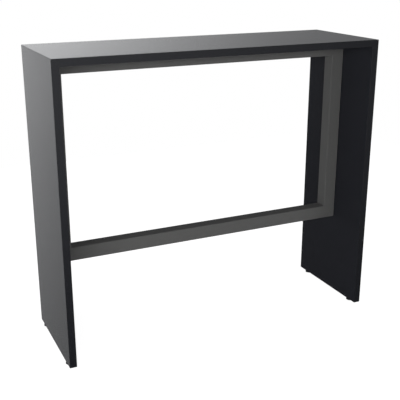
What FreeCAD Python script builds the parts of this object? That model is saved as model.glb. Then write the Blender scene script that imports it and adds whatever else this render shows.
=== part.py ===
import FreeCAD, Part
import os
import Sketcher
from FreeCAD import Placement, Rotation, Vector

# A bar table: three boards mitred into an upside-down U, a welded ring of square tube hung inside it,
# and four levelling feet. +Z is up, the front is -Y, and the origin is on the floor under the middle.

# Driving dimensions in millimetres
SIZES = {
    # boards and their edge bands
    "table_length": 1200,
    "table_depth": 400,
    "table_height": 1050,
    "board_thickness": 25,
    "band_thickness": 2,
    "band_arris": 1,
    "corner_arris": 1,
    # loose splines glued across the mitres
    "spline_thickness": 4,
    "spline_width": 24,
    "spline_inset": 10,
    "spline_end_gap": 1,
    # square tube ring
    "tube_size": 50,
    "tube_wall": 2,
    "tube_corner": 3,
    "foot_rail_top": 372,
    # lugs welded behind the tubes, and their hexagon-head wood screws
    "lug_length": 40,
    "lug_width": 32,
    "lug_thickness": 5,
    "lug_corner": 8,
    "lug_hole_offset": 18,
    "lug_end_distance": 120,
    "screw_diameter": 6,
    "screw_length": 20,
    "screw_head_width": 10,
    "screw_head_height": 4,
    # levelling feet
    "foot_edge_distance": 48,
    "pad_diameter": 28,
    "pad_height": 5,
    "pad_floor": 1.5,
    "stem_head_width": 13,
    "stem_head_height": 1.8,
    "stem_diameter": 8,
    "stem_length": 25,
    "collar_width": 13,
    "collar_height": 2,
    "sleeve_diameter": 11,
    "sleeve_length": 30,
    # fits
    "spline_clearance": 0.1,
    "sleeve_clearance": 0.1,
    "screw_hole_clearance": 0.3,
    "thread_clearance": 0.05,
    "stem_head_clearance": 0.1,
    "hole_end_gap": 1,
}

LEFT_SIGN = -1
RIGHT_SIGN = 1
FRONT_SIGN = -1
BACK_SIGN = 1
SIDE_NAMES = {LEFT_SIGN: "left", RIGHT_SIGN: "right"}
END_NAMES = {FRONT_SIGN: "front", BACK_SIGN: "back"}
MITRE_ANGLE = 45
QUARTER_TURN = 90
FULL_TURN = 360
HEXAGON_SIDES = 6

# Places worked out from the driving dimensions
OUTER_SIDE = "(Sizes.table_length / 2)"
INNER_SIDE = "(Sizes.table_length / 2 - Sizes.board_thickness)"
SIDE_MIDDLE = "(Sizes.table_length / 2 - Sizes.board_thickness / 2)"
TOP_FACE = "Sizes.table_height"
UNDERSIDE = "(Sizes.table_height - Sizes.board_thickness)"
BAND_FOOT = "(Sizes.pad_height + Sizes.collar_height)"
CORE_FOOT = f"({BAND_FOOT} + Sizes.band_thickness)"
OUTER_DEPTH = "(Sizes.table_depth / 2)"
CORE_DEPTH = "(Sizes.table_depth / 2 - Sizes.band_thickness)"
HALF_TUBE = "(Sizes.tube_size / 2)"
RAIL_FOOT = "(Sizes.foot_rail_top - Sizes.tube_size)"
UPRIGHT_MIDDLE = f"(({UNDERSIDE} + {RAIL_FOOT}) / 2)"
HALF_UPRIGHT = f"(({UNDERSIDE} - {RAIL_FOOT}) / 2)"
SCREW_ROW = f"({HALF_TUBE} + Sizes.lug_hole_offset)"
SCREW_HOLE = "(Sizes.screw_diameter + 2 * Sizes.screw_hole_clearance)"
PILOT_HOLE = "(Sizes.screw_diameter + 2 * Sizes.thread_clearance)"
PILOT_DEPTH = "(Sizes.screw_length - Sizes.lug_thickness + Sizes.hole_end_gap)"
FOOT_ROW = "(Sizes.table_depth / 2 - Sizes.foot_edge_distance)"
SLEEVE_HOLE = "(Sizes.sleeve_diameter + 2 * Sizes.sleeve_clearance)"
SLEEVE_BORE = "(Sizes.stem_diameter + 2 * Sizes.thread_clearance)"
STEM_REACH = "max(Sizes.sleeve_length; Sizes.stem_length)"
SLEEVE_HOLE_DEPTH = f"({STEM_REACH} + Sizes.hole_end_gap - Sizes.band_thickness)"

# Points of a sketched line or circle, as the sketcher numbers them
START_INDEX = 1
END_INDEX = 2
CENTRE_INDEX = 3

TOLERANCE = 1e-4

doc = FreeCAD.newDocument("BarTable")
sheet = doc.addObject("Spreadsheet::Sheet", "Sizes")
for row, (size_name, size_value) in enumerate(SIZES.items(), start=1):
    sheet.set(f"A{row}", size_name)
    sheet.set(f"B{row}", str(size_value))
    sheet.setAlias(f"B{row}", size_name)
doc.recompute()

nodes = []


def value(text):
    """The number that an expression on the sheet has now."""
    return float(sheet.evalExpression(text))


def signed(sign, text):
    """The expression on the left or front (-1), or on the right or back (1)."""
    return f"{sign} * {text}"


def new_body(label):
    """A named sub-part, which may be a group of separate solids."""
    body = doc.addObject("PartDesign::Body", label)
    body.Label = label
    body.AllowCompound = True
    nodes.append(body)
    return body


def place(body, spot, rotation=Rotation()):
    """Puts a body that is modelled in its own frame where three expressions say."""
    body.Placement = Placement(Vector(), rotation)
    for axis, text in zip("xyz", spot):
        body.setExpression(f"Placement.Base.{axis}", text)


def origin_feature(body, role):
    """One of the body's own origin planes or axes."""
    return next(item for item in body.Origin.OriginFeatures if item.Role == role)


def new_sketch(body, name, plane, spot=("0", "0", "0"), rotation=Rotation()):
    """A sketch on an origin plane, moved along that plane's own axes by three expressions."""
    sketch = body.newObject("Sketcher::SketchObject", name)
    sketch.AttachmentSupport = [(origin_feature(body, plane), "")]
    sketch.MapMode = "FlatFace"
    sketch.AttachmentOffset = Placement(Vector(), rotation)
    for axis, text in zip("xyz", spot):
        sketch.setExpression(f"AttachmentOffset.Base.{axis}", text)
    return sketch


def bind(sketch, kind, geometry, text, point=None):
    """Adds one dimension to the sketch and ties it to an expression."""
    target = (geometry,) if point is None else (geometry, point)
    number = sketch.addConstraint(Sketcher.Constraint(kind, *target, value(text)))
    sketch.setExpression(f"Constraints[{number}]", text)


def pin_point(sketch, geometry, point, spot):
    """Ties a point of the sketch to a pair of expressions."""
    bind(sketch, "DistanceX", geometry, spot[0], point)
    bind(sketch, "DistanceY", geometry, spot[1], point)


def outline(sketch, corners):
    """A closed outline of straight lines, its corners given as pairs of expressions."""
    first = sketch.GeometryCount
    count = len(corners)
    spots = [Vector(value(x), value(y), 0) for x, y in corners]
    for index, spot in enumerate(spots):
        sketch.addGeometry(Part.LineSegment(spot, spots[(index + 1) % count]), False)
    for index, corner in enumerate(corners):
        line = first + index
        following = first + (index + 1) % count
        sketch.addConstraint(Sketcher.Constraint("Coincident", line, END_INDEX, following, START_INDEX))
        pin_point(sketch, line, START_INDEX, corner)


def rectangle(sketch, low, high):
    """A rectangle between two opposite corners."""
    outline(sketch, [low, (high[0], low[1]), high, (low[0], high[1])])


def circles(sketch, spots, diameter):
    """One circle of the same diameter at each pair of expressions."""
    for x, y in spots:
        centre = Vector(value(x), value(y), 0)
        number = sketch.addGeometry(Part.Circle(centre, Vector(0, 0, 1), value(diameter) / 2), False)
        pin_point(sketch, number, CENTRE_INDEX, (x, y))
        bind(sketch, "Diameter", number, diameter)


def hexagon(sketch, spot, width):
    """A hexagon about a pair of expressions, width across its flats."""
    corners = []
    reach = f"({width}) / sqrt(3)"
    for angle in range(0, FULL_TURN, FULL_TURN // HEXAGON_SIDES):
        corners.append((f"{spot[0]} + cos({angle}) * {reach}", f"{spot[1]} + sin({angle}) * {reach}"))
    outline(sketch, corners)


def pad(body, sketch, length, backward=False, both_ways=False):
    """Adds material along the sketch's normal, against it, or half each way."""
    feature = body.newObject("PartDesign::Pad", "Pad")
    feature.Profile = sketch
    feature.SideType = "Symmetric" if both_ways else "One side"
    feature.Reversed = backward
    feature.setExpression("Length", length)
    doc.recompute()
    return feature


def pocket(body, sketch, depth, forward=False, both_ways=False):
    """Cuts against the sketch's normal, along it, or half each way, and checks that it did cut."""
    volume_before = body.Shape.Volume
    feature = body.newObject("PartDesign::Pocket", "Pocket")
    feature.Profile = sketch
    feature.SideType = "Symmetric" if both_ways else "One side"
    feature.Reversed = forward
    feature.setExpression("Length", depth)
    doc.recompute()
    if body.Shape.Volume > volume_before - TOLERANCE:
        raise RuntimeError(f"{body.Label}: {sketch.Label} cut nothing")
    return feature


def revolve(body, sketch):
    """Turns a half section on the XZ plane once round the body's Z axis."""
    feature = body.newObject("PartDesign::Revolution", "Revolution")
    feature.Profile = sketch
    feature.ReferenceAxis = (origin_feature(body, "Z_Axis"), [""])
    doc.recompute()
    return feature


def fillet(body, radius, chosen):
    """Rounds the edges that a test chooses."""
    base = body.Tip
    names = [f"Edge{number}" for number, edge in enumerate(base.Shape.Edges, start=1) if chosen(edge)]
    feature = body.newObject("PartDesign::Fillet", "Rounding")
    feature.Base = (base, names)
    feature.setExpression("Radius", radius)
    doc.recompute()


def near(first, second):
    return abs(first - second) < TOLERANCE


def runs_along(edge, axis):
    """True for a straight edge parallel to one axis of the body."""
    if not isinstance(edge.Curve, Part.Line):
        return False
    return near(abs(edge.Curve.Direction.dot(axis)), 1)


def lies_at(edge, axis, height):
    """True for an edge that lies wholly in one plane square to an axis."""
    box = edge.BoundBox
    low = Vector(box.XMin, box.YMin, box.ZMin).dot(axis)
    high = Vector(box.XMax, box.YMax, box.ZMax).dot(axis)
    return near(low, height) and near(high, height)


AXIS_X = Vector(1, 0, 0)
AXIS_Y = Vector(0, 1, 0)
AXIS_Z = Vector(0, 0, 1)


# Boards and edge bands

TOP_SECTION = [
    (signed(LEFT_SIGN, OUTER_SIDE), TOP_FACE),
    (signed(RIGHT_SIGN, OUTER_SIDE), TOP_FACE),
    (signed(RIGHT_SIGN, INNER_SIDE), UNDERSIDE),
    (signed(LEFT_SIGN, INNER_SIDE), UNDERSIDE),
]


def side_section(side, foot):
    """The mitred outline of a side board or its band, down to a given height."""
    return [
        (signed(side, OUTER_SIDE), TOP_FACE),
        (signed(side, OUTER_SIDE), foot),
        (signed(side, INNER_SIDE), foot),
        (signed(side, INNER_SIDE), UNDERSIDE),
    ]


def ease_corner(body, side):
    """Takes the sharp outer edge off a mitred corner, half from each board."""
    sketch = new_sketch(body, "EasedCorner", "XZ_Plane")
    edge = signed(side, OUTER_SIDE)
    eased = signed(side, f"({OUTER_SIDE} - Sizes.corner_arris)")
    outline(sketch, [(edge, TOP_FACE), (eased, TOP_FACE), (edge, f"{TOP_FACE} - Sizes.corner_arris")])
    pocket(body, sketch, "2 * Sizes.table_depth", both_ways=True)


def mitre_plane(body, name, side):
    """A sketch on a mitre, its origin at the inner corner and its normal into the top board."""
    tilt = Rotation(AXIS_Y, -side * MITRE_ANGLE)
    return new_sketch(body, name, "XY_Plane", (signed(side, INNER_SIDE), "0", UNDERSIDE), tilt)


def across_spline(side, half_thickness, half_length):
    """Opposite corners of a spline or its groove, in the plane of its mitre."""
    low = (signed(side, f"(Sizes.spline_inset - {half_thickness})"), f"-{half_length}")
    high = (signed(side, f"(Sizes.spline_inset + {half_thickness})"), half_length)
    return low, high


def cut_spline_groove(body, side, into_top):
    """Half of the groove for a spline, from the front of the core to its back."""
    groove = mitre_plane(body, "SplineGroove", side)
    half_thickness = "(Sizes.spline_thickness / 2 + Sizes.spline_clearance)"
    rectangle(groove, *across_spline(side, half_thickness, CORE_DEPTH))
    pocket(body, groove, "Sizes.spline_width / 2 + Sizes.hole_end_gap", forward=into_top)


TOP_LUGS = [
    signed(LEFT_SIGN, f"({INNER_SIDE} - Sizes.lug_end_distance)"),
    "0",
    signed(RIGHT_SIGN, f"({INNER_SIDE} - Sizes.lug_end_distance)"),
]
UPRIGHT_LUGS = [signed(sign, f"({HALF_UPRIGHT} - Sizes.lug_end_distance)") for sign in SIDE_NAMES]


def make_top_board():
    body = new_body("top_board")
    section = new_sketch(body, "MitredSection", "XZ_Plane")
    outline(section, TOP_SECTION)
    pad(body, section, f"2 * {CORE_DEPTH}", both_ways=True)
    for side in SIDE_NAMES:
        ease_corner(body, side)
        cut_spline_groove(body, side, into_top=True)
    holes = new_sketch(body, "PilotHoles", "XY_Plane", ("0", "0", UNDERSIDE))
    circles(holes, [(spot, SCREW_ROW) for spot in TOP_LUGS], PILOT_HOLE)
    pocket(body, holes, PILOT_DEPTH, forward=True)


def foot_spots(side):
    """The two feet of a side board, in plan."""
    return [(signed(side, SIDE_MIDDLE), signed(end, FOOT_ROW)) for end in END_NAMES]


def make_side_board(side):
    body = new_body(f"{SIDE_NAMES[side]}_side_board")
    section = new_sketch(body, "MitredSection", "XZ_Plane")
    outline(section, side_section(side, CORE_FOOT))
    pad(body, section, f"2 * {CORE_DEPTH}", both_ways=True)
    ease_corner(body, side)
    cut_spline_groove(body, side, into_top=False)
    pilot_holes = new_sketch(body, "PilotHoles", "YZ_Plane", ("0", "0", signed(side, INNER_SIDE)))
    heights = [f"{UPRIGHT_MIDDLE} + {spot}" for spot in UPRIGHT_LUGS]
    circles(pilot_holes, [(SCREW_ROW, height) for height in heights], PILOT_HOLE)
    pocket(body, pilot_holes, PILOT_DEPTH, forward=side == RIGHT_SIGN)
    sleeve_holes = new_sketch(body, "SleeveHoles", "XY_Plane", ("0", "0", CORE_FOOT))
    circles(sleeve_holes, foot_spots(side), SLEEVE_HOLE)
    pocket(body, sleeve_holes, SLEEVE_HOLE_DEPTH, forward=True)


def make_upright_band(label, section, end, sides):
    """A band on a front or back edge, with a rounded arris along its outer edges."""
    body = new_body(label)
    sketch = new_sketch(body, "BandOutline", "XZ_Plane", ("0", "0", signed(-end, CORE_DEPTH)))
    outline(sketch, section)
    pad(body, sketch, "Sizes.band_thickness", backward=end == BACK_SIGN)
    outer_face = end * value(OUTER_DEPTH)

    def is_arris(edge):
        square = runs_along(edge, AXIS_X) or runs_along(edge, AXIS_Z)
        return square and lies_at(edge, AXIS_Y, outer_face)

    fillet(body, "Sizes.band_arris", is_arris)
    for side in sides:
        ease_corner(body, side)


def make_bottom_band(side):
    """The band under a side board, between its front and back bands."""
    body = new_body(f"{SIDE_NAMES[side]}_bottom_edge_band")
    section = new_sketch(body, "BandSection", "XZ_Plane")
    rectangle(section, (signed(side, INNER_SIDE), BAND_FOOT), (signed(side, OUTER_SIDE), CORE_FOOT))
    pad(body, section, f"2 * {CORE_DEPTH}", both_ways=True)
    holes = new_sketch(body, "SleeveHoles", "XY_Plane", ("0", "0", BAND_FOOT))
    circles(holes, foot_spots(side), SLEEVE_HOLE)
    pocket(body, holes, "Sizes.band_thickness", forward=True)


def make_spline(side):
    """The strip glued into both grooves of a mitre."""
    body = new_body(f"{SIDE_NAMES[side]}_mitre_spline")
    section = new_sketch(body, "SplineSection", "XY_Plane")
    half_length = f"({CORE_DEPTH} - Sizes.spline_end_gap)"
    rectangle(section, *across_spline(side, "Sizes.spline_thickness / 2", half_length))
    pad(body, section, "Sizes.spline_width", both_ways=True)
    place(body, (signed(side, INNER_SIDE), "0", UNDERSIDE), Rotation(AXIS_Y, -side * MITRE_ANGLE))


# Welded ring of square tube

LOW_SIGN = -1
HIGH_SIGN = 1
RING_EDGE = {LOW_SIGN: RAIL_FOOT, HIGH_SIGN: UNDERSIDE}


def mitre_waste(side, level, level_tube):
    """The triangle beyond the mitre at one outer corner of the ring."""
    corner = (signed(side, INNER_SIDE), RING_EDGE[level])
    outward = (f"{corner[0]} + {side} * Sizes.tube_size", f"{corner[1]} + {level} * Sizes.tube_size")
    inward = (f"{corner[0]} - {side} * 2 * Sizes.tube_size", f"{corner[1]} - {level} * 2 * Sizes.tube_size")
    waste = (outward[0], inward[1]) if level_tube else (inward[0], outward[1])
    return [outward, inward, waste]


def make_tube(label, plane, spot, middle, length, mitres, level_tube):
    """A square tube along the plane's normal, with rounded corners and mitred at both ends."""
    body = new_body(label)
    section = new_sketch(body, "TubeSection", plane, spot)
    for reach in (HALF_TUBE, f"({HALF_TUBE} - Sizes.tube_wall)"):
        low = (f"{middle[0]} - {reach}", f"{middle[1]} - {reach}")
        high = (f"{middle[0]} + {reach}", f"{middle[1]} + {reach}")
        rectangle(section, low, high)
    pad(body, section, length, both_ways=True)
    axis = AXIS_X if level_tube else AXIS_Z
    half_tube = value(HALF_TUBE)

    fillet(
        body,
        "Sizes.tube_corner",
        lambda edge: runs_along(edge, axis) and near(abs(edge.CenterOfMass.y), half_tube),
    )
    for side, level in mitres:
        ends = new_sketch(body, "MitreWaste", "XZ_Plane")
        outline(ends, mitre_waste(side, level, level_tube))
        pocket(body, ends, "2 * Sizes.tube_size", both_ways=True)


def make_rail(label, level):
    height = f"({RING_EDGE[level]} - {level} * {HALF_TUBE})"
    mitres = [(side, level) for side in SIDE_NAMES]
    make_tube(label, "YZ_Plane", ("0", "0", "0"), ("0", height), f"2 * {INNER_SIDE}", mitres, True)


def make_upright(side):
    middle = f"{side} * ({INNER_SIDE} - {HALF_TUBE})"
    mitres = [(side, level) for level in RING_EDGE]
    spot = ("0", "0", UPRIGHT_MIDDLE)
    label = f"frame_{SIDE_NAMES[side]}_upright"
    make_tube(label, "XY_Plane", spot, (middle, "0"), f"2 * {HALF_UPRIGHT}", mitres, False)


# Lugs behind the tubes. Each set is modelled with X along its tube, Y away from the tube's back face
# and Z towards the board, from an origin on the board's face.


def lug_outline(spot):
    """A lug in plan, with the corners of its free end cut off."""
    low = f"({spot} - Sizes.lug_length / 2)"
    high = f"({spot} + Sizes.lug_length / 2)"
    shoulder = "(Sizes.lug_width - Sizes.lug_corner)"
    return [
        (low, "0"),
        (high, "0"),
        (high, shoulder),
        (f"{high} - Sizes.lug_corner", "Sizes.lug_width"),
        (f"{low} + Sizes.lug_corner", "Sizes.lug_width"),
        (low, shoulder),
    ]


def make_lugs(label, spots):
    body = new_body(label)
    plan = new_sketch(body, "LugPlan", "XY_Plane")
    for spot in spots:
        outline(plan, lug_outline(spot))
    circles(plan, [(spot, "Sizes.lug_hole_offset") for spot in spots], SCREW_HOLE)
    pad(body, plan, "Sizes.lug_thickness", backward=True)
    return body


def make_screws(label, spots):
    body = new_body(label)
    seat = ("0", "0", "-Sizes.lug_thickness")
    places = [(spot, "Sizes.lug_hole_offset") for spot in spots]
    shanks = new_sketch(body, "Shanks", "XY_Plane", seat)
    circles(shanks, places, "Sizes.screw_diameter")
    pad(body, shanks, "Sizes.screw_length")
    heads = new_sketch(body, "Heads", "XY_Plane", seat)
    for spot in places:
        hexagon(heads, spot, "Sizes.screw_head_width")
    pad(body, heads, "Sizes.screw_head_height", backward=True)
    return body


def make_fixings(name, spots, origin, rotation):
    """The lugs of one tube, with their screws."""
    place(make_lugs(f"{name}_fixing_lugs", spots), origin, rotation)
    place(make_screws(f"{name}_lug_screws", spots), origin, rotation)


# Levelling feet, each modelled about its own axis from the floor up

HEAD_TOP = "(Sizes.pad_floor + Sizes.stem_head_height)"
CAVITY_TOP = f"({HEAD_TOP} + 2 * Sizes.stem_head_clearance)"
CAVITY_RADIUS = "(Sizes.stem_head_width / sqrt(3) + Sizes.stem_head_clearance)"
NECK_RADIUS = "(Sizes.stem_diameter / 2 + Sizes.thread_clearance)"
PAD_RADIUS = "(Sizes.pad_diameter / 2)"


def make_pad(label, spot):
    """A moulded disc that holds the stem's head under a lip, free to turn."""
    body = new_body(label)
    section = new_sketch(body, "PadSection", "XZ_Plane")
    outline(section, [
        ("0", "0"),
        (PAD_RADIUS, "0"),
        (PAD_RADIUS, "Sizes.pad_height"),
        (NECK_RADIUS, "Sizes.pad_height"),
        (NECK_RADIUS, CAVITY_TOP),
        (CAVITY_RADIUS, CAVITY_TOP),
        (CAVITY_RADIUS, "Sizes.pad_floor"),
        ("0", "Sizes.pad_floor"),
    ])
    revolve(body, section)
    place(body, spot)


def make_stem(label, spot):
    """A stem: hexagon head, neck, hexagon collar and threaded length."""
    body = new_body(label)
    head = new_sketch(body, "Head", "XY_Plane", ("0", "0", "Sizes.pad_floor"))
    hexagon(head, ("0", "0"), "Sizes.stem_head_width")
    pad(body, head, "Sizes.stem_head_height")
    neck = new_sketch(body, "Neck", "XY_Plane", ("0", "0", HEAD_TOP))
    circles(neck, [("0", "0")], "Sizes.stem_diameter")
    pad(body, neck, f"{BAND_FOOT} + Sizes.stem_length - {HEAD_TOP}")
    collar = new_sketch(body, "Collar", "XY_Plane", ("0", "0", "Sizes.pad_height"))
    hexagon(collar, ("0", "0"), "Sizes.collar_width")
    pad(body, collar, "Sizes.collar_height")
    place(body, spot)


def make_sleeves(side):
    body = new_body(f"{SIDE_NAMES[side]}_foot_sleeves")
    section = new_sketch(body, "SleeveSection", "XY_Plane", ("0", "0", BAND_FOOT))
    circles(section, foot_spots(side), "Sizes.sleeve_diameter")
    circles(section, foot_spots(side), SLEEVE_BORE)
    pad(body, section, "Sizes.sleeve_length")


def make_foot(side, end):
    name = f"{END_NAMES[end]}_{SIDE_NAMES[side]}_foot"
    spot = (signed(side, SIDE_MIDDLE), signed(end, FOOT_ROW), "0")
    make_pad(f"{name}_pad", spot)
    make_stem(f"{name}_stem", spot)


make_top_board()
for end_sign, end_name in END_NAMES.items():
    make_upright_band(f"top_{end_name}_edge_band", TOP_SECTION, end_sign, list(SIDE_NAMES))
for side_sign, side_name in SIDE_NAMES.items():
    make_side_board(side_sign)
    for end_sign, end_name in END_NAMES.items():
        band_section = side_section(side_sign, BAND_FOOT)
        make_upright_band(f"{side_name}_{end_name}_edge_band", band_section, end_sign, [side_sign])
    make_bottom_band(side_sign)
    make_spline(side_sign)
    make_upright(side_sign)
    make_sleeves(side_sign)
    for end_sign in END_NAMES:
        make_foot(side_sign, end_sign)
make_rail("frame_top_rail", HIGH_SIGN)
make_rail("frame_foot_rail", LOW_SIGN)

make_fixings("top", TOP_LUGS, ("0", HALF_TUBE, UNDERSIDE), Rotation())
for side_sign, side_name in SIDE_NAMES.items():
    turned = Rotation(AXIS_Y, side_sign * QUARTER_TURN)
    origin = (signed(side_sign, INNER_SIDE), HALF_TUBE, UPRIGHT_MIDDLE)
    make_fixings(side_name, UPRIGHT_LUGS, origin, turned)
doc.recompute()

for item in doc.Objects:
    if "Invalid" in item.State or "Error" in item.State:
        raise RuntimeError(f"{item.Label} failed: {item.State}")
for node in nodes:
    if node.Shape.isNull() or not node.Shape.isValid():
        raise RuntimeError(f"{node.Label} has no valid shape")

os.makedirs("parts", exist_ok=True)
for node in nodes:
    node.Shape.exportStep(f"parts/{node.Label}.step")
print(f"{len(nodes)} parts, {sum(len(node.Shape.Solids) for node in nodes)} solids")
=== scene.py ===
import math

import bmesh
import bpy
from mathutils import Matrix, Vector


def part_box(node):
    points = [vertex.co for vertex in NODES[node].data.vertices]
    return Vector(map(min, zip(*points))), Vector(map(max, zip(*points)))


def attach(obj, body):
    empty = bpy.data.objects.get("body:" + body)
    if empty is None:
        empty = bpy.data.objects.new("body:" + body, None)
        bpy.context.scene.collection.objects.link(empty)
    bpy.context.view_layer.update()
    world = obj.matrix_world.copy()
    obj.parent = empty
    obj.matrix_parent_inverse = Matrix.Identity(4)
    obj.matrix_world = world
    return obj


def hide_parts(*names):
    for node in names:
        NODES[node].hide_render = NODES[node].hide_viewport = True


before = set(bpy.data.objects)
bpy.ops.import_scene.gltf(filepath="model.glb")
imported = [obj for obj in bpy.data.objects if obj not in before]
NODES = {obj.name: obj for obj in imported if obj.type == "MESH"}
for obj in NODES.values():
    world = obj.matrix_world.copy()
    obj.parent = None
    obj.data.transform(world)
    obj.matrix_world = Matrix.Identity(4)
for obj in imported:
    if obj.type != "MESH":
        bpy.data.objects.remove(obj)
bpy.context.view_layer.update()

SIDES = ("left", "right")
ENDS = ("front", "back")
FEET = [f"{end}_{side}_foot" for side in SIDES for end in ENDS]

MM = 0.001
SAME_POINT = 0.0001 * MM
SHARP_ANGLE = math.radians(30)
FLAT_ANGLE = math.radians(0.05)
QUARTER_TURN = math.radians(90)
MITRE_ANGLE = math.radians(45)

# Camera at the photograph's angle
CAMERA_PLACE = Vector((-1.1388, -2.3869, 1.3526))
CAMERA_AIM = Vector((-0.0186, 0.0, 0.4678))
CAMERA_LENS_MM = 66.79
CAMERA_SENSOR_MM = 36.0

# Studio lamps: place, what they point at, width and height, power
LAMPS = {
    "key": ((-2.1, -3.1, 1.5), (0, 0, 0.5), (4.0, 0.6), 145),
    "front_fill": ((2.2, -3.2, 1.5), (0, 0, 0.4), (2.0, 0.6), 30),
    "right_fill": ((3.5, 0, 0.6), (0, 0, 0.5), (2.5, 1.0), 40),
    "back_fill": ((0, 3.5, 0.4), (0, 0, 0.5), (4.5, 0.8), 70),
    "overhead": ((0, 0, 2.6), (0, 0, 1.0), (1.2, 0.5), 10),
}
AMBIENT = 0.10

# What shiny surfaces see: dim walls, and panels of light, each with a brightness and soft edges.
# An edge is an axis of the direction, where the panel starts along it, where it is full, and a falloff.
DIM_WALLS = 0.04
WALL_COLOUR = (0.97, 0.977, 0.99, 1)
LIGHT_PANELS = (
    (0.31, (("Y", 0.2, 0.6, 1), ("X", -0.4, -0.24, 1))),
    (0.73, (("Y", 0.75, 0.97, 3), ("X", -0.4, -0.24, 1))),
    (0.58, (("Y", 0.75, 0.97, 3), ("X", -0.15, 0.0, 1))),
    (0.81, (("Y", -0.3, -0.6, 1), ("X", 0.75, 0.29, 1), ("Z", -0.5, -0.16, 1))),
    (0.25, (("Y", 0.75, 0.97, 3), ("Z", -0.25, -0.13, 1), ("Z", 0.05, -0.05, 1))),
    (0.35, (("X", 0.7, 0.95, 1),)),
    (0.35, (("X", -0.7, -0.95, 1),)),
    (0.5, (("Z", 0.7, 0.9, 1),)),
    (0.7, (("Z", -0.6, -0.8, 1),)),
)

# Floor: its own colour, and for the camera a glow with a little shading on top
FLOOR_HALF_WIDTH = 2.4
FLOOR_COLOUR = (0.80, 0.80, 0.80, 1)
FLOOR_SHADE = (0.35, 0.35, 0.35, 1)
FLOOR_GLOW = 0.9
WHITE = (1, 1, 1, 1)
WHITE_STRENGTH = 1.0

# What most of a noise texture's values lie between, and a wave texture's length at a scale of 1
NOISE_LOW = 0.3
NOISE_HIGH = 0.7
WAVE_LENGTH = math.tau / 20

# Finishes have linear colours, lumps or lines per metre, and the depth of their relief.
# Black melamine board
BOARD_DARK = (0.0140, 0.0147, 0.0184, 1)
BOARD_LIGHT = (0.0156, 0.0163, 0.0202, 1)
BOARD_CLOUDS = 7
BOARD_PEARL = 800
BOARD_PEARL_DEPTH = 0.06 * MM
BOARD_ROUGHNESS = (0.22, 0.28)
BOARD_IOR = 1.3

# Plastic edge band, with lines drawn out along its length
BAND_DARK = (0.0054, 0.0058, 0.0078, 1)
BAND_LIGHT = (0.0061, 0.0065, 0.0086, 1)
BAND_LINES = 900
BAND_LINE_STRETCH = 0.02
BAND_LINE_DEPTH = 0.03 * MM
BAND_ROUGHNESS = (0.20, 0.26)
BAND_IOR = 1.45

# Powder coat on the tubes and lugs
PAINT_DARK = (0.060, 0.060, 0.059, 1)
PAINT_LIGHT = (0.090, 0.090, 0.089, 1)
PAINT_PEEL = 500
PAINT_PEEL_DEPTH = 0.10 * MM
PAINT_GRAIN = 1600
PAINT_GRAIN_DEPTH = 0.22 * MM
PAINT_ROUGHNESS = (0.85, 0.95)
PAINT_IOR = 1.45

# Zinc plating
ZINC_DARK = (0.50, 0.50, 0.52, 1)
ZINC_LIGHT = (0.62, 0.62, 0.63, 1)
ZINC_CLOUDS = 400
ZINC_GRAIN = 3000
ZINC_GRAIN_DEPTH = 0.01 * MM
ZINC_ROUGHNESS = (0.28, 0.40)

# Birch plywood, three plies thick, with its grain along the strip
BIRCH_CORE = (0.42, 0.28, 0.15, 1)
BIRCH_FACE = (0.60, 0.43, 0.26, 1)
BIRCH_TWO_PLIES = 2.67 * MM
BIRCH_GRAIN = 600
BIRCH_GRAIN_STRETCH = 0.05
BIRCH_GRAIN_DEPTH = 0.03 * MM
BIRCH_ROUGHNESS = (0.55, 0.70)

# Moulded plastic of the feet
PLASTIC_DARK = (0.010, 0.010, 0.011, 1)
PLASTIC_LIGHT = (0.014, 0.014, 0.015, 1)
PLASTIC_GRAIN = 1200
PLASTIC_GRAIN_DEPTH = 0.10 * MM
PLASTIC_ROUGHNESS = (0.45, 0.60)

# Softened edges of the pieces that come from CAD
BEVEL_SEGMENTS = 3
BOARD_HAIRLINE = 0.12 * MM
BOARD_SHORTEST = 10 * MM
PAD_ROUND = 0.9 * MM
LUG_ROUND = 0.5 * MM
SLEEVE_ROUND = 0.3 * MM

# How a name ends, its finish, the rounding of its edges, and the shortest edge that is rounded
CAD_LOOKS = (
    ("bottom_edge_band", "band_along_y", BOARD_HAIRLINE, BOARD_SHORTEST),
    ("top_front_edge_band", "band_along_x", BOARD_HAIRLINE, BOARD_SHORTEST),
    ("top_back_edge_band", "band_along_x", BOARD_HAIRLINE, BOARD_SHORTEST),
    ("edge_band", "band_along_z", BOARD_HAIRLINE, BOARD_SHORTEST),
    ("board", "melamine", BOARD_HAIRLINE, BOARD_SHORTEST),
    ("lugs", "powder_coat", LUG_ROUND, 0),
    ("rail", "powder_coat", 0, 0),
    ("upright", "powder_coat", 0, 0),
    ("left_mitre_spline", "left_plywood", 0, 0),
    ("right_mitre_spline", "right_plywood", 0, 0),
    ("pad", "foot_plastic", PAD_ROUND, 0),
    ("sleeves", "zinc", SLEEVE_ROUND, 0),
    ("screws", "zinc", 0, 0),
    ("stem", "zinc", 0, 0),
)

# Turned pieces and hexagons
CIRCLE_STEPS = 36
ANGLES = [math.tau * step / CIRCLE_STEPS for step in range(CIRCLE_STEPS)]
HEXAGON_SECTOR = math.tau / 6
CHAMFER_SHARE = 0.95
CHAMFER_RISE = math.tan(math.radians(30))

# Points along one turn of a thread: a share of the pitch, and 1 at the crest or 0 at the root
METRIC_TURN = ((0.0, 1), (0.125, 1), (0.4375, 0), (0.6875, 0))
WOOD_TURN = ((0.0, 1), (0.08, 1), (0.25, 0), (0.83, 0))

# Foot stem: M8 x 1.25, sizes along it from its lower end
STEM_ACROSS_FLATS = 13 * MM
STEM_HEAD_HEIGHT = 1.8 * MM
STEM_NECK_RADIUS = 4 * MM
STEM_NECK_HEIGHT = 1.7 * MM
STEM_COLLAR_HEIGHT = 2 * MM
STEM_PITCH = 1.25 * MM
STEM_CREST_RADIUS = 4 * MM
STEM_ROOT_RADIUS = 3.25 * MM
STEM_TIP_RADIUS = 2.9 * MM

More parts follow.
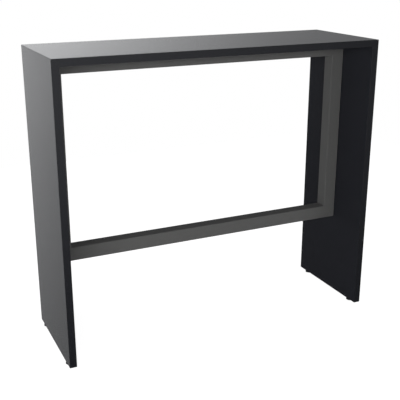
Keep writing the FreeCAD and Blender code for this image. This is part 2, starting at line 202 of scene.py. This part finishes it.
# Hexagon-head wood screw, sizes along it from the head's outer face
SCREW_ACROSS_FLATS = 10 * MM
SCREW_HEAD_HEIGHT = 4 * MM
SCREW_PLAIN_LENGTH = 6 * MM
SCREW_CREST_RADIUS = 3 * MM
SCREW_ROOT_RADIUS = 2.1 * MM
SCREW_TIP_RADIUS = 0.3 * MM
SCREW_POINT_SLOPE = 0.5
SCREW_PITCH = 2.6 * MM

# Weld bead at the root of each lug, with ripples as deep as a share of its leg
BEAD_LEG = 3.2 * MM
BEAD_SINK = 0.3 * MM
BEAD_RIPPLE = 1.9 * MM
BEAD_RIPPLE_SHARE = 0.16
BEAD_STEPS_PER_RIPPLE = 5
BEAD_ARC_STEPS = 6
BEAD_END_MARGIN = 1.5 * MM


def add_node(tree, kind, inputs=None, **settings):
    """Adds a node, sets its options, and sets or links its inputs, given by name or number."""
    node = tree.nodes.new(kind)
    for name, setting in settings.items():
        setattr(node, name, setting)
    for key, source in (inputs or {}).items():
        if isinstance(source, bpy.types.NodeSocket):
            tree.links.new(source, node.inputs[key])
        else:
            node.inputs[key].default_value = source
    return node


def new_material(name):
    """A material with an empty node tree."""
    material = bpy.data.materials.new(name)
    material.use_nodes = True
    material.node_tree.nodes.clear()
    return material, material.node_tree


def add_surface(tree, inputs):
    """A Principled surface with these inputs, shown by the material."""
    surface = add_node(tree, "ShaderNodeBsdfPrincipled", inputs)
    add_node(tree, "ShaderNodeOutputMaterial", {"Surface": surface.outputs["BSDF"]})


def place_in_metres(tree, stretch=(1, 1, 1)):
    """The point on the object in metres, squeezed along some axes."""
    coordinates = add_node(tree, "ShaderNodeTexCoord")
    mapping = add_node(
        tree,
        "ShaderNodeMapping",
        {"Vector": coordinates.outputs["Object"], "Scale": stretch},
    )
    return mapping.outputs["Vector"]


def noise(tree, vector, per_metre):
    """Smooth noise with so many lumps per metre."""
    node = add_node(tree, "ShaderNodeTexNoise", {"Vector": vector, "Scale": per_metre})
    return node.outputs["Fac"]


def blend_colours(tree, factor, first, second):
    """Goes from one colour to the other as the factor goes from 0 to 1."""
    node = add_node(tree, "ShaderNodeMix", {"Factor": factor}, data_type="RGBA")
    colours = {"A": first, "B": second}
    for socket in node.inputs:
        if socket.type == "RGBA":
            socket.default_value = colours[socket.name]
    return next(socket for socket in node.outputs if socket.type == "RGBA")


def spread(tree, factor, low, high):
    """Takes a noise texture's usual values to a range."""
    limits = {"From Min": NOISE_LOW, "From Max": NOISE_HIGH, "To Min": low, "To Max": high}
    return add_node(tree, "ShaderNodeMapRange", {"Value": factor, **limits}).outputs["Result"]


def bump(tree, height, depth, under=None):
    """A normal that follows the height, on top of a coarser one if there is one under it."""
    inputs = {"Height": height, "Distance": depth}
    if under:
        inputs["Normal"] = under
    return add_node(tree, "ShaderNodeBump", inputs).outputs["Normal"]


def melamine():
    """Near-black satin melamine: faint clouds in its colour, a fine pearl in its gloss and relief."""
    material, tree = new_material("black_melamine")
    place = place_in_metres(tree)
    clouds = noise(tree, place, BOARD_CLOUDS)
    pearl = noise(tree, place, BOARD_PEARL)
    add_surface(tree, {
        "Base Color": blend_colours(tree, clouds, BOARD_DARK, BOARD_LIGHT),
        "Roughness": spread(tree, pearl, *BOARD_ROUGHNESS),
        "IOR": BOARD_IOR,
        "Normal": bump(tree, pearl, BOARD_PEARL_DEPTH),
    })
    return material


def edge_band(axis):
    """The boards' plastic edge band, with faint lines along an axis."""
    material, tree = new_material(f"edge_band_along_{axis}")
    stretch = [BAND_LINE_STRETCH if name == axis else 1 for name in "xyz"]
    lines = noise(tree, place_in_metres(tree, stretch), BAND_LINES)
    add_surface(tree, {
        "Base Color": blend_colours(tree, lines, BAND_DARK, BAND_LIGHT),
        "Roughness": spread(tree, lines, *BAND_ROUGHNESS),
        "IOR": BAND_IOR,
        "Normal": bump(tree, lines, BAND_LINE_DEPTH),
    })
    return material


def powder_coat():
    """Matt dark grey powder coat: a fine grain on a soft orange peel."""
    material, tree = new_material("grey_powder_coat")
    place = place_in_metres(tree)
    peel = noise(tree, place, PAINT_PEEL)
    grain = noise(tree, place, PAINT_GRAIN)
    add_surface(tree, {
        "Base Color": blend_colours(tree, grain, PAINT_DARK, PAINT_LIGHT),
        "Roughness": spread(tree, peel, *PAINT_ROUGHNESS),
        "IOR": PAINT_IOR,
        "Normal": bump(tree, grain, PAINT_GRAIN_DEPTH, bump(tree, peel, PAINT_PEEL_DEPTH)),
    })
    return material


def zinc():
    """Zinc plating: cloudy, with a fine crystal grain."""
    material, tree = new_material("zinc_steel")
    place = place_in_metres(tree)
    clouds = noise(tree, place, ZINC_CLOUDS)
    grain = noise(tree, place, ZINC_GRAIN)
    add_surface(tree, {
        "Base Color": blend_colours(tree, clouds, ZINC_DARK, ZINC_LIGHT),
        "Metallic": 1.0,
        "Roughness": spread(tree, clouds, *ZINC_ROUGHNESS),
        "Normal": bump(tree, grain, ZINC_GRAIN_DEPTH),
    })
    return material


def plywood(side):
    """Birch plywood: plies across the thickness of one mitre's strip, and grain along the strip."""
    material, tree = new_material(f"{side}_birch_plywood")
    low, high = (Vector(corner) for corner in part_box(f"{side}_mitre_spline"))
    lean = math.copysign(MITRE_ANGLE, -low.x)
    across = add_node(
        tree,
        "ShaderNodeMapping",
        {
            "Vector": place_in_metres(tree),
            "Location": (low + high) / 2,
            "Rotation": (0, lean, 0),
        },
        vector_type="TEXTURE",
    )
    plies = add_node(
        tree,
        "ShaderNodeTexWave",
        {"Vector": across.outputs["Vector"], "Scale": WAVE_LENGTH / BIRCH_TWO_PLIES},
        bands_direction="X",
    )
    grain = noise(tree, place_in_metres(tree, (1, BIRCH_GRAIN_STRETCH, 1)), BIRCH_GRAIN)
    add_surface(tree, {
        "Base Color": blend_colours(tree, plies.outputs["Fac"], BIRCH_CORE, BIRCH_FACE),
        "Roughness": spread(tree, grain, *BIRCH_ROUGHNESS),
        "Normal": bump(tree, grain, BIRCH_GRAIN_DEPTH),
    })
    return material


def foot_plastic():
    """Matt black plastic with a fine moulded grain."""
    material, tree = new_material("foot_plastic")
    grain = noise(tree, place_in_metres(tree), PLASTIC_GRAIN)
    add_surface(tree, {
        "Base Color": blend_colours(tree, grain, PLASTIC_DARK, PLASTIC_LIGHT),
        "Roughness": spread(tree, grain, *PLASTIC_ROUGHNESS),
        "Normal": bump(tree, grain, PLASTIC_GRAIN_DEPTH),
    })
    return material


def edge_marks_group():
    """Geometry nodes that keep only a mesh's true edges sharp and mark those long enough to be softened."""
    group = bpy.data.node_groups.new("edge_marks", "GeometryNodeTree")
    for direction in ("INPUT", "OUTPUT"):
        group.interface.new_socket("Geometry", in_out=direction, socket_type="NodeSocketGeometry")
    group.interface.new_socket("Shortest", in_out="INPUT", socket_type="NodeSocketFloat")
    source = add_node(group, "NodeGroupInput")
    plain = add_node(
        group,
        "GeometryNodeRemoveAttribute",
        {"Geometry": source.outputs["Geometry"], "Name": "custom_normal"},
    )
    smooth = add_node(
        group,
        "GeometryNodeSetShadeSmooth",
        {"Geometry": plain.outputs["Geometry"], "Shade Smooth": True},
    )
    bend = add_node(group, "GeometryNodeInputMeshEdgeAngle")
    corner = add_node(
        group,
        "FunctionNodeCompare",
        {"A": bend.outputs["Unsigned Angle"], "B": SHARP_ANGLE},
        operation="GREATER_THAN",
    )
    sharp = add_node(
        group,
        "GeometryNodeSetShadeSmooth",
        {
            "Geometry": smooth.outputs["Geometry"],
            "Selection": corner.outputs["Result"],
            "Shade Smooth": False,
        },
        domain="EDGE",
    )
    ends = add_node(group, "GeometryNodeInputMeshEdgeVertices")
    length = add_node(
        group,
        "ShaderNodeVectorMath",
        {0: ends.outputs["Position 1"], 1: ends.outputs["Position 2"]},
        operation="DISTANCE",
    )
    long_enough = add_node(
        group,
        "FunctionNodeCompare",
        {"A": length.outputs["Value"], "B": source.outputs["Shortest"]},
        operation="GREATER_THAN",
    )
    both = add_node(
        group,
        "FunctionNodeBooleanMath",
        {0: corner.outputs["Result"], 1: long_enough.outputs["Result"]},
        operation="AND",
    )
    marked = add_node(
        group,
        "GeometryNodeStoreNamedAttribute",
        {
            "Geometry": sharp.outputs["Geometry"],
            "Name": "bevel_weight_edge",
            "Value": both.outputs["Boolean"],
        },
        data_type="FLOAT",
        domain="EDGE",
    )
    add_node(group, "NodeGroupOutput", {"Geometry": marked.outputs["Geometry"]})
    return group


def soften(node, group, rounding, shortest):
    """Gives a CAD node clean shading, and rounds its sharp edges that are longer than the shortest."""
    joined = node.modifiers.new("joined_faces", "WELD")
    joined.merge_threshold = SAME_POINT
    whole = node.modifiers.new("whole_faces", "DECIMATE")
    whole.decimate_type = "DISSOLVE"
    whole.angle_limit = FLAT_ANGLE
    marks = node.modifiers.new("edge_marks", "NODES")
    marks.node_group = group
    marks[group.interface.items_tree["Shortest"].identifier] = shortest
    if rounding:
        bevel = node.modifiers.new("soft_edges", "BEVEL")
        bevel.width = rounding
        bevel.segments = BEVEL_SEGMENTS
        bevel.limit_method = "WEIGHT"
        bevel.use_clamp_overlap = False
    weighted = node.modifiers.new("flat_shading", "WEIGHTED_NORMAL")
    weighted.keep_sharp = True


def dress_cad_nodes(materials):
    """Gives each CAD node its finish and its softened edges."""
    group = edge_marks_group()
    for name, node in NODES.items():
        look = next(look for ending, *look in CAD_LOOKS if name.endswith(ending))
        finish, rounding, shortest = look
        node.material_slots[0].material = materials[finish]
        soften(node, group, rounding, shortest)


def add_piece(name, build, material, body):
    """Turns a bmesh into a piece of the object that rides on a body."""
    bmesh.ops.remove_doubles(build, verts=build.verts, dist=SAME_POINT)
    bmesh.ops.recalc_face_normals(build, faces=build.faces)
    mesh = bpy.data.meshes.new(name)
    build.to_mesh(mesh)
    build.free()
    for face in mesh.polygons:
        face.use_smooth = True
    mesh.set_sharp_from_angle(angle=SHARP_ANGLE)
    mesh.materials.append(material)
    piece = bpy.data.objects.new(name, mesh)
    bpy.context.scene.collection.objects.link(piece)
    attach(piece, body)
    return piece


def solid_boxes(name):
    """The lowest and highest corners of each separate solid in a CAD node."""
    build = bmesh.new()
    build.from_mesh(NODES[name].data)
    bmesh.ops.remove_doubles(build, verts=build.verts, dist=SAME_POINT)
    seen = set()
    boxes = []
    for first in build.verts:
        if first in seen:
            continue
        seen.add(first)
        solid = [first]
        for vert in solid:
            for edge in vert.link_edges:
                neighbour = edge.other_vert(vert)
                if neighbour not in seen:
                    seen.add(neighbour)
                    solid.append(neighbour)
        places = [vert.co for vert in solid]
        low = Vector([min(values) for values in zip(*places)])
        high = Vector([max(values) for values in zip(*places)])
        boxes.append((low, high))
    build.free()
    return sorted(boxes, key=lambda box: tuple(box[0]))


def hexagon(across_flats):
    """A hexagon's radius as a function of the angle, with two corners on the X axis."""
    def radius(angle):
        from_flat = angle % HEXAGON_SECTOR - HEXAGON_SECTOR / 2
        return across_flats / 2 / math.cos(from_flat)
    return radius


def add_ring(build, height, radius):
    """A ring of points round the Z axis. Height and radius are lengths, or functions of the angle."""
    ring = []
    for angle in ANGLES:
        level = height(angle) if callable(height) else height
        reach = radius(angle) if callable(radius) else radius
        ring.append(build.verts.new((reach * math.cos(angle), reach * math.sin(angle), level)))
    return ring


def join_rings(build, rings):
    """Closes the wall from each ring to the next."""
    for lower, upper in zip(rings, rings[1:]):
        for step in range(CIRCLE_STEPS):
            following = (step + 1) % CIRCLE_STEPS
            build.faces.new((lower[step], lower[following], upper[following], upper[step]))


def chamfered_hexagon(build, bottom, top, across_flats, lower_chamfer, upper_chamfer):
    """The rings of a hexagon whose corners are cut by a cone at one end or both."""
    full = hexagon(across_flats)
    end_radius = CHAMFER_SHARE * across_flats / 2

    def chamfer_depth(angle):
        return (full(angle) - end_radius) * CHAMFER_RISE

    rings = []
    if lower_chamfer:
        rings.append(add_ring(build, bottom, end_radius))
        rings.append(add_ring(build, lambda angle: bottom + chamfer_depth(angle), full))
    else:
        rings.append(add_ring(build, bottom, full))
    if upper_chamfer:
        rings.append(add_ring(build, lambda angle: top - chamfer_depth(angle), full))
        rings.append(add_ring(build, top, end_radius))
    else:
        rings.append(add_ring(build, top, full))
    return rings


def add_thread(build, bottom, top, pitch, root, crest, turn, greatest):
    """A right-hand thread. The function greatest limits its radius at each height."""
    turns = math.ceil((top - bottom) / pitch)
    columns = []
    for step, angle in enumerate(ANGLES):
        column = []
        for number in range(-1, turns + 1):
            for along, out in turn:
                height = bottom + pitch * (number + along + step / CIRCLE_STEPS)
                height = min(max(height, bottom), top)
                reach = min(root + (crest - root) * out, greatest(height))
                column.append(build.verts.new((reach * math.cos(angle), reach * math.sin(angle), height)))
        columns.append(column)
    columns.append(columns[0][len(turn):])
    for here, there in zip(columns, columns[1:]):
        for level in range(len(there) - 1):
            build.faces.new((here[level], there[level], there[level + 1], here[level + 1]))


def add_foot_stem(foot, material):
    """A levelling foot's stem: flat hexagon head, neck, hexagon collar and M8 thread."""
    low, high = (Vector(corner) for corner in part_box(f"{foot}_stem"))
    length = high.z - low.z
    neck = STEM_HEAD_HEIGHT
    collar = neck + STEM_NECK_HEIGHT
    thread = collar + STEM_COLLAR_HEIGHT
    build = bmesh.new()
    rings = chamfered_hexagon(build, 0, neck, STEM_ACROSS_FLATS, False, False)
    rings.append(add_ring(build, neck, STEM_NECK_RADIUS))
    rings.append(add_ring(build, collar, STEM_NECK_RADIUS))
    rings += chamfered_hexagon(build, collar, thread, STEM_ACROSS_FLATS, True, True)
    rings.append(add_ring(build, thread, STEM_ROOT_RADIUS))
    join_rings(build, rings)
    build.faces.new(reversed(rings[0]))

    def greatest(height):
        return min(STEM_ROOT_RADIUS + height - thread, STEM_TIP_RADIUS + length - height)

    add_thread(
        build, thread, length, STEM_PITCH, STEM_ROOT_RADIUS, STEM_CREST_RADIUS, METRIC_TURN, greatest
    )
    build.faces.new(add_ring(build, length, STEM_TIP_RADIUS))
    middle = (low + high) / 2
    bmesh.ops.translate(build, verts=build.verts, vec=(middle.x, middle.y, low.z))
    stem = add_piece(f"{foot}_threaded_stem", build, material, f"{foot}_screw")
    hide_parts(f"{foot}_stem")


def add_wood_screw(build, length, place):
    """One hexagon-head wood screw, moved to its place."""
    first = len(build.verts)
    thread = SCREW_HEAD_HEIGHT + SCREW_PLAIN_LENGTH
    rings = chamfered_hexagon(build, 0, SCREW_HEAD_HEIGHT, SCREW_ACROSS_FLATS, True, False)
    rings.append(add_ring(build, SCREW_HEAD_HEIGHT, SCREW_CREST_RADIUS))
    rings.append(add_ring(build, thread, SCREW_CREST_RADIUS))
    rings.append(add_ring(build, thread, SCREW_ROOT_RADIUS))
    join_rings(build, rings)
    build.faces.new(reversed(rings[0]))

    def greatest(height):
        point = SCREW_TIP_RADIUS + (length - height) * SCREW_POINT_SLOPE
        return min(SCREW_ROOT_RADIUS + height - thread, point)

    add_thread(
        build, thread, length, SCREW_PITCH, SCREW_ROOT_RADIUS, SCREW_CREST_RADIUS, WOOD_TURN, greatest
    )
    build.faces.new(add_ring(build, length, SCREW_TIP_RADIUS))
    build.verts.ensure_lookup_table()
    bmesh.ops.transform(build, matrix=place, verts=build.verts[first:])


def add_lug_screws(where, material):
    """The wood screws through one board's lugs, with their heads away from the board."""
    build = bmesh.new()
    for low, high in solid_boxes(f"{where}_lug_screws"):
        middle = (low + high) / 2
        if where == "top":
            length = high.z - low.z
            place = Matrix.Translation((middle.x, middle.y, low.z))
        else:
            length = high.x - low.x
            outward = math.copysign(1, middle.x)
            head = low.x if outward > 0 else high.x
            turn = Matrix.Rotation(outward * QUARTER_TURN, 4, "Y")
            place = Matrix.Translation((head, middle.y, middle.z)) @ turn
        add_wood_screw(build, length, place)
    screws = add_piece(f"{where}_lug_wood_screws", build, material, "table")
    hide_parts(f"{where}_lug_screws")


def add_bead(build, start, end, tube_out, lug_out):
    """A rippled weld bead in the corner between a tube's face and a lug's face."""
    length = (end - start).length
    ripples = round(length / BEAD_RIPPLE)
    steps = ripples * BEAD_STEPS_PER_RIPPLE
    sections = []
    for step in range(steps + 1):
        share = step / steps
        within = step % BEAD_STEPS_PER_RIPPLE / BEAD_STEPS_PER_RIPPLE
        from_end = min(share, 1 - share) * length
        end_round = math.sqrt(1 - max(0, 1 - (from_end + BEAD_SINK) / BEAD_LEG) ** 2)
        leg = BEAD_LEG * end_round * (1 - BEAD_RIPPLE_SHARE * within)
        corner = start.lerp(end, share)
        section = [corner - (tube_out + lug_out) * BEAD_SINK]
        for arc_step in range(BEAD_ARC_STEPS + 1):
            angle = QUARTER_TURN * arc_step / BEAD_ARC_STEPS
            across = tube_out * math.cos(angle) + lug_out * math.sin(angle)
            section.append(corner + across * leg)
        # The bead's two toes lie a little inside the steel
        section[1] -= lug_out * BEAD_SINK
        section[-1] -= tube_out * BEAD_SINK
        sections.append([build.verts.new(point) for point in section])
    for here, there in zip(sections, sections[1:]):
        for point in range(len(here)):
            following = (point + 1) % len(here)
            build.faces.new((here[point], here[following], there[following], there[point]))
    build.faces.new(sections[0])
    build.faces.new(reversed(sections[-1]))


def add_lug_welds(where, material):
    """The weld beads that hold one board's lugs to the tube in front of them."""
    build = bmesh.new()
    back = Vector((0, 1, 0))
    for low, high in solid_boxes(f"{where}_fixing_lugs"):
        if where == "top":
            away = Vector((0, 0, -1))
            start = Vector((low.x + BEAD_END_MARGIN, low.y, low.z))
            end = Vector((high.x - BEAD_END_MARGIN, low.y, low.z))
        else:
            away = Vector((1, 0, 0)) if where == "left" else Vector((-1, 0, 0))
            face = high.x if where == "left" else low.x
            start = Vector((face, low.y, low.z + BEAD_END_MARGIN))
            end = Vector((face, low.y, high.z - BEAD_END_MARGIN))
        add_bead(build, start, end, back, away)
    add_piece(f"{where}_lug_welds", build, material, "table")


def make_floor():
    """A pale floor, which the camera sees as white with the object's shadow left on it."""
    mesh = bpy.data.meshes.new("studio_floor")
    build = bmesh.new()
    bmesh.ops.create_grid(build, x_segments=1, y_segments=1, size=FLOOR_HALF_WIDTH)
    build.to_mesh(mesh)
    build.free()
    floor = bpy.data.objects.new("studio_floor", mesh)
    bpy.context.scene.collection.objects.link(floor)
    floor.visible_glossy = False
    material, tree = new_material("studio_floor")
    path = add_node(tree, "ShaderNodeLightPath")
    pale = add_node(tree, "ShaderNodeBsdfDiffuse", {"Color": FLOOR_COLOUR})
    glow = add_node(tree, "ShaderNodeEmission", {"Strength": FLOOR_GLOW})
    shade = add_node(tree, "ShaderNodeBsdfDiffuse", {"Color": FLOOR_SHADE})
    white = add_node(tree, "ShaderNodeAddShader", {0: glow.outputs[0], 1: shade.outputs[0]})
    shown = add_node(
        tree,
        "ShaderNodeMixShader",
        {"Fac": path.outputs["Is Camera Ray"], 1: pale.outputs[0], 2: white.outputs[0]},
    )
    add_node(tree, "ShaderNodeOutputMaterial", {"Surface": shown.outputs[0]})
    mesh.materials.append(material)


def maths(tree, operation, first, second):
    """The result of an operation on two numbers."""
    return add_node(tree, "ShaderNodeMath", {0: first, 1: second}, operation=operation).outputs[0]


def make_world():
    """A faint even light, a studio for shiny surfaces to reflect, and white for the camera."""
    world = bpy.data.worlds.new("studio")
    bpy.context.scene.world = world
    world.use_nodes = True
    tree = world.node_tree
    tree.nodes.clear()
    path = add_node(tree, "ShaderNodeLightPath")
    direction = add_node(tree, "ShaderNodeTexCoord")
    axes = add_node(tree, "ShaderNodeSeparateXYZ", {"Vector": direction.outputs["Generated"]})
    walls = DIM_WALLS
    for brightness, edges in LIGHT_PANELS:
        panel = brightness
        for axis, start, full, falloff in edges:
            limits = {"From Min": start, "From Max": full}
            edge = add_node(tree, "ShaderNodeMapRange", {"Value": axes.outputs[axis], **limits})
            panel = maths(tree, "MULTIPLY", panel, maths(tree, "POWER", edge.outputs["Result"], falloff))
        walls = maths(tree, "ADD", walls, panel)
    ambient = add_node(tree, "ShaderNodeBackground", {"Color": WHITE, "Strength": AMBIENT})
    studio = add_node(tree, "ShaderNodeBackground", {"Color": WALL_COLOUR, "Strength": walls})
    white = add_node(tree, "ShaderNodeBackground", {"Color": WHITE, "Strength": WHITE_STRENGTH})
    shiny = maths(tree, "MAXIMUM", path.outputs["Is Glossy Ray"], path.outputs["Is Transmission Ray"])
    reflected = add_node(
        tree,
        "ShaderNodeMixShader",
        {"Fac": shiny, 1: ambient.outputs[0], 2: studio.outputs[0]},
    )
    shown = add_node(
        tree,
        "ShaderNodeMixShader",
        {"Fac": path.outputs["Is Camera Ray"], 1: reflected.outputs[0], 2: white.outputs[0]},
    )
    add_node(tree, "ShaderNodeOutputWorld", {"Surface": shown.outputs[0]})


def make_lamp(name, place, aim, size, power):
    """A rectangular soft lamp that shows neither to the camera nor in reflections."""
    light = bpy.data.lights.new(name, "AREA")
    light.shape = "RECTANGLE"
    light.size, light.size_y = size
    light.energy = power
    lamp = bpy.data.objects.new(name, light)
    bpy.context.scene.collection.objects.link(lamp)
    lamp.location = place
    lamp.rotation_euler = (Vector(aim) - Vector(place)).to_track_quat("-Z", "Y").to_euler()
    lamp.visible_glossy = False
    lamp.visible_camera = False


def make_camera():
    """The camera at the photograph's angle."""
    data = bpy.data.cameras.new("camera")
    data.lens = CAMERA_LENS_MM
    data.sensor_width = CAMERA_SENSOR_MM
    camera = bpy.data.objects.new("camera", data)
    bpy.context.scene.collection.objects.link(camera)
    camera.location = CAMERA_PLACE
    camera.rotation_euler = (CAMERA_AIM - CAMERA_PLACE).to_track_quat("-Z", "Y").to_euler()
    bpy.context.scene.camera = camera


finishes = {
    "melamine": melamine(),
    "band_along_x": edge_band("x"),
    "band_along_y": edge_band("y"),
    "band_along_z": edge_band("z"),
    "powder_coat": powder_coat(),
    "zinc": zinc(),
    "left_plywood": plywood("left"),
    "right_plywood": plywood("right"),
    "foot_plastic": foot_plastic(),
}
dress_cad_nodes(finishes)
for foot in FEET:
    add_foot_stem(foot, finishes["zinc"])
for where in ("top", *SIDES):
    add_lug_screws(where, finishes["zinc"])
    add_lug_welds(where, finishes["powder_coat"])

make_floor()
make_world()
for name, settings in LAMPS.items():
    make_lamp(name, *settings)
make_camera()
bpy.context.scene.view_settings.view_transform = "Standard"
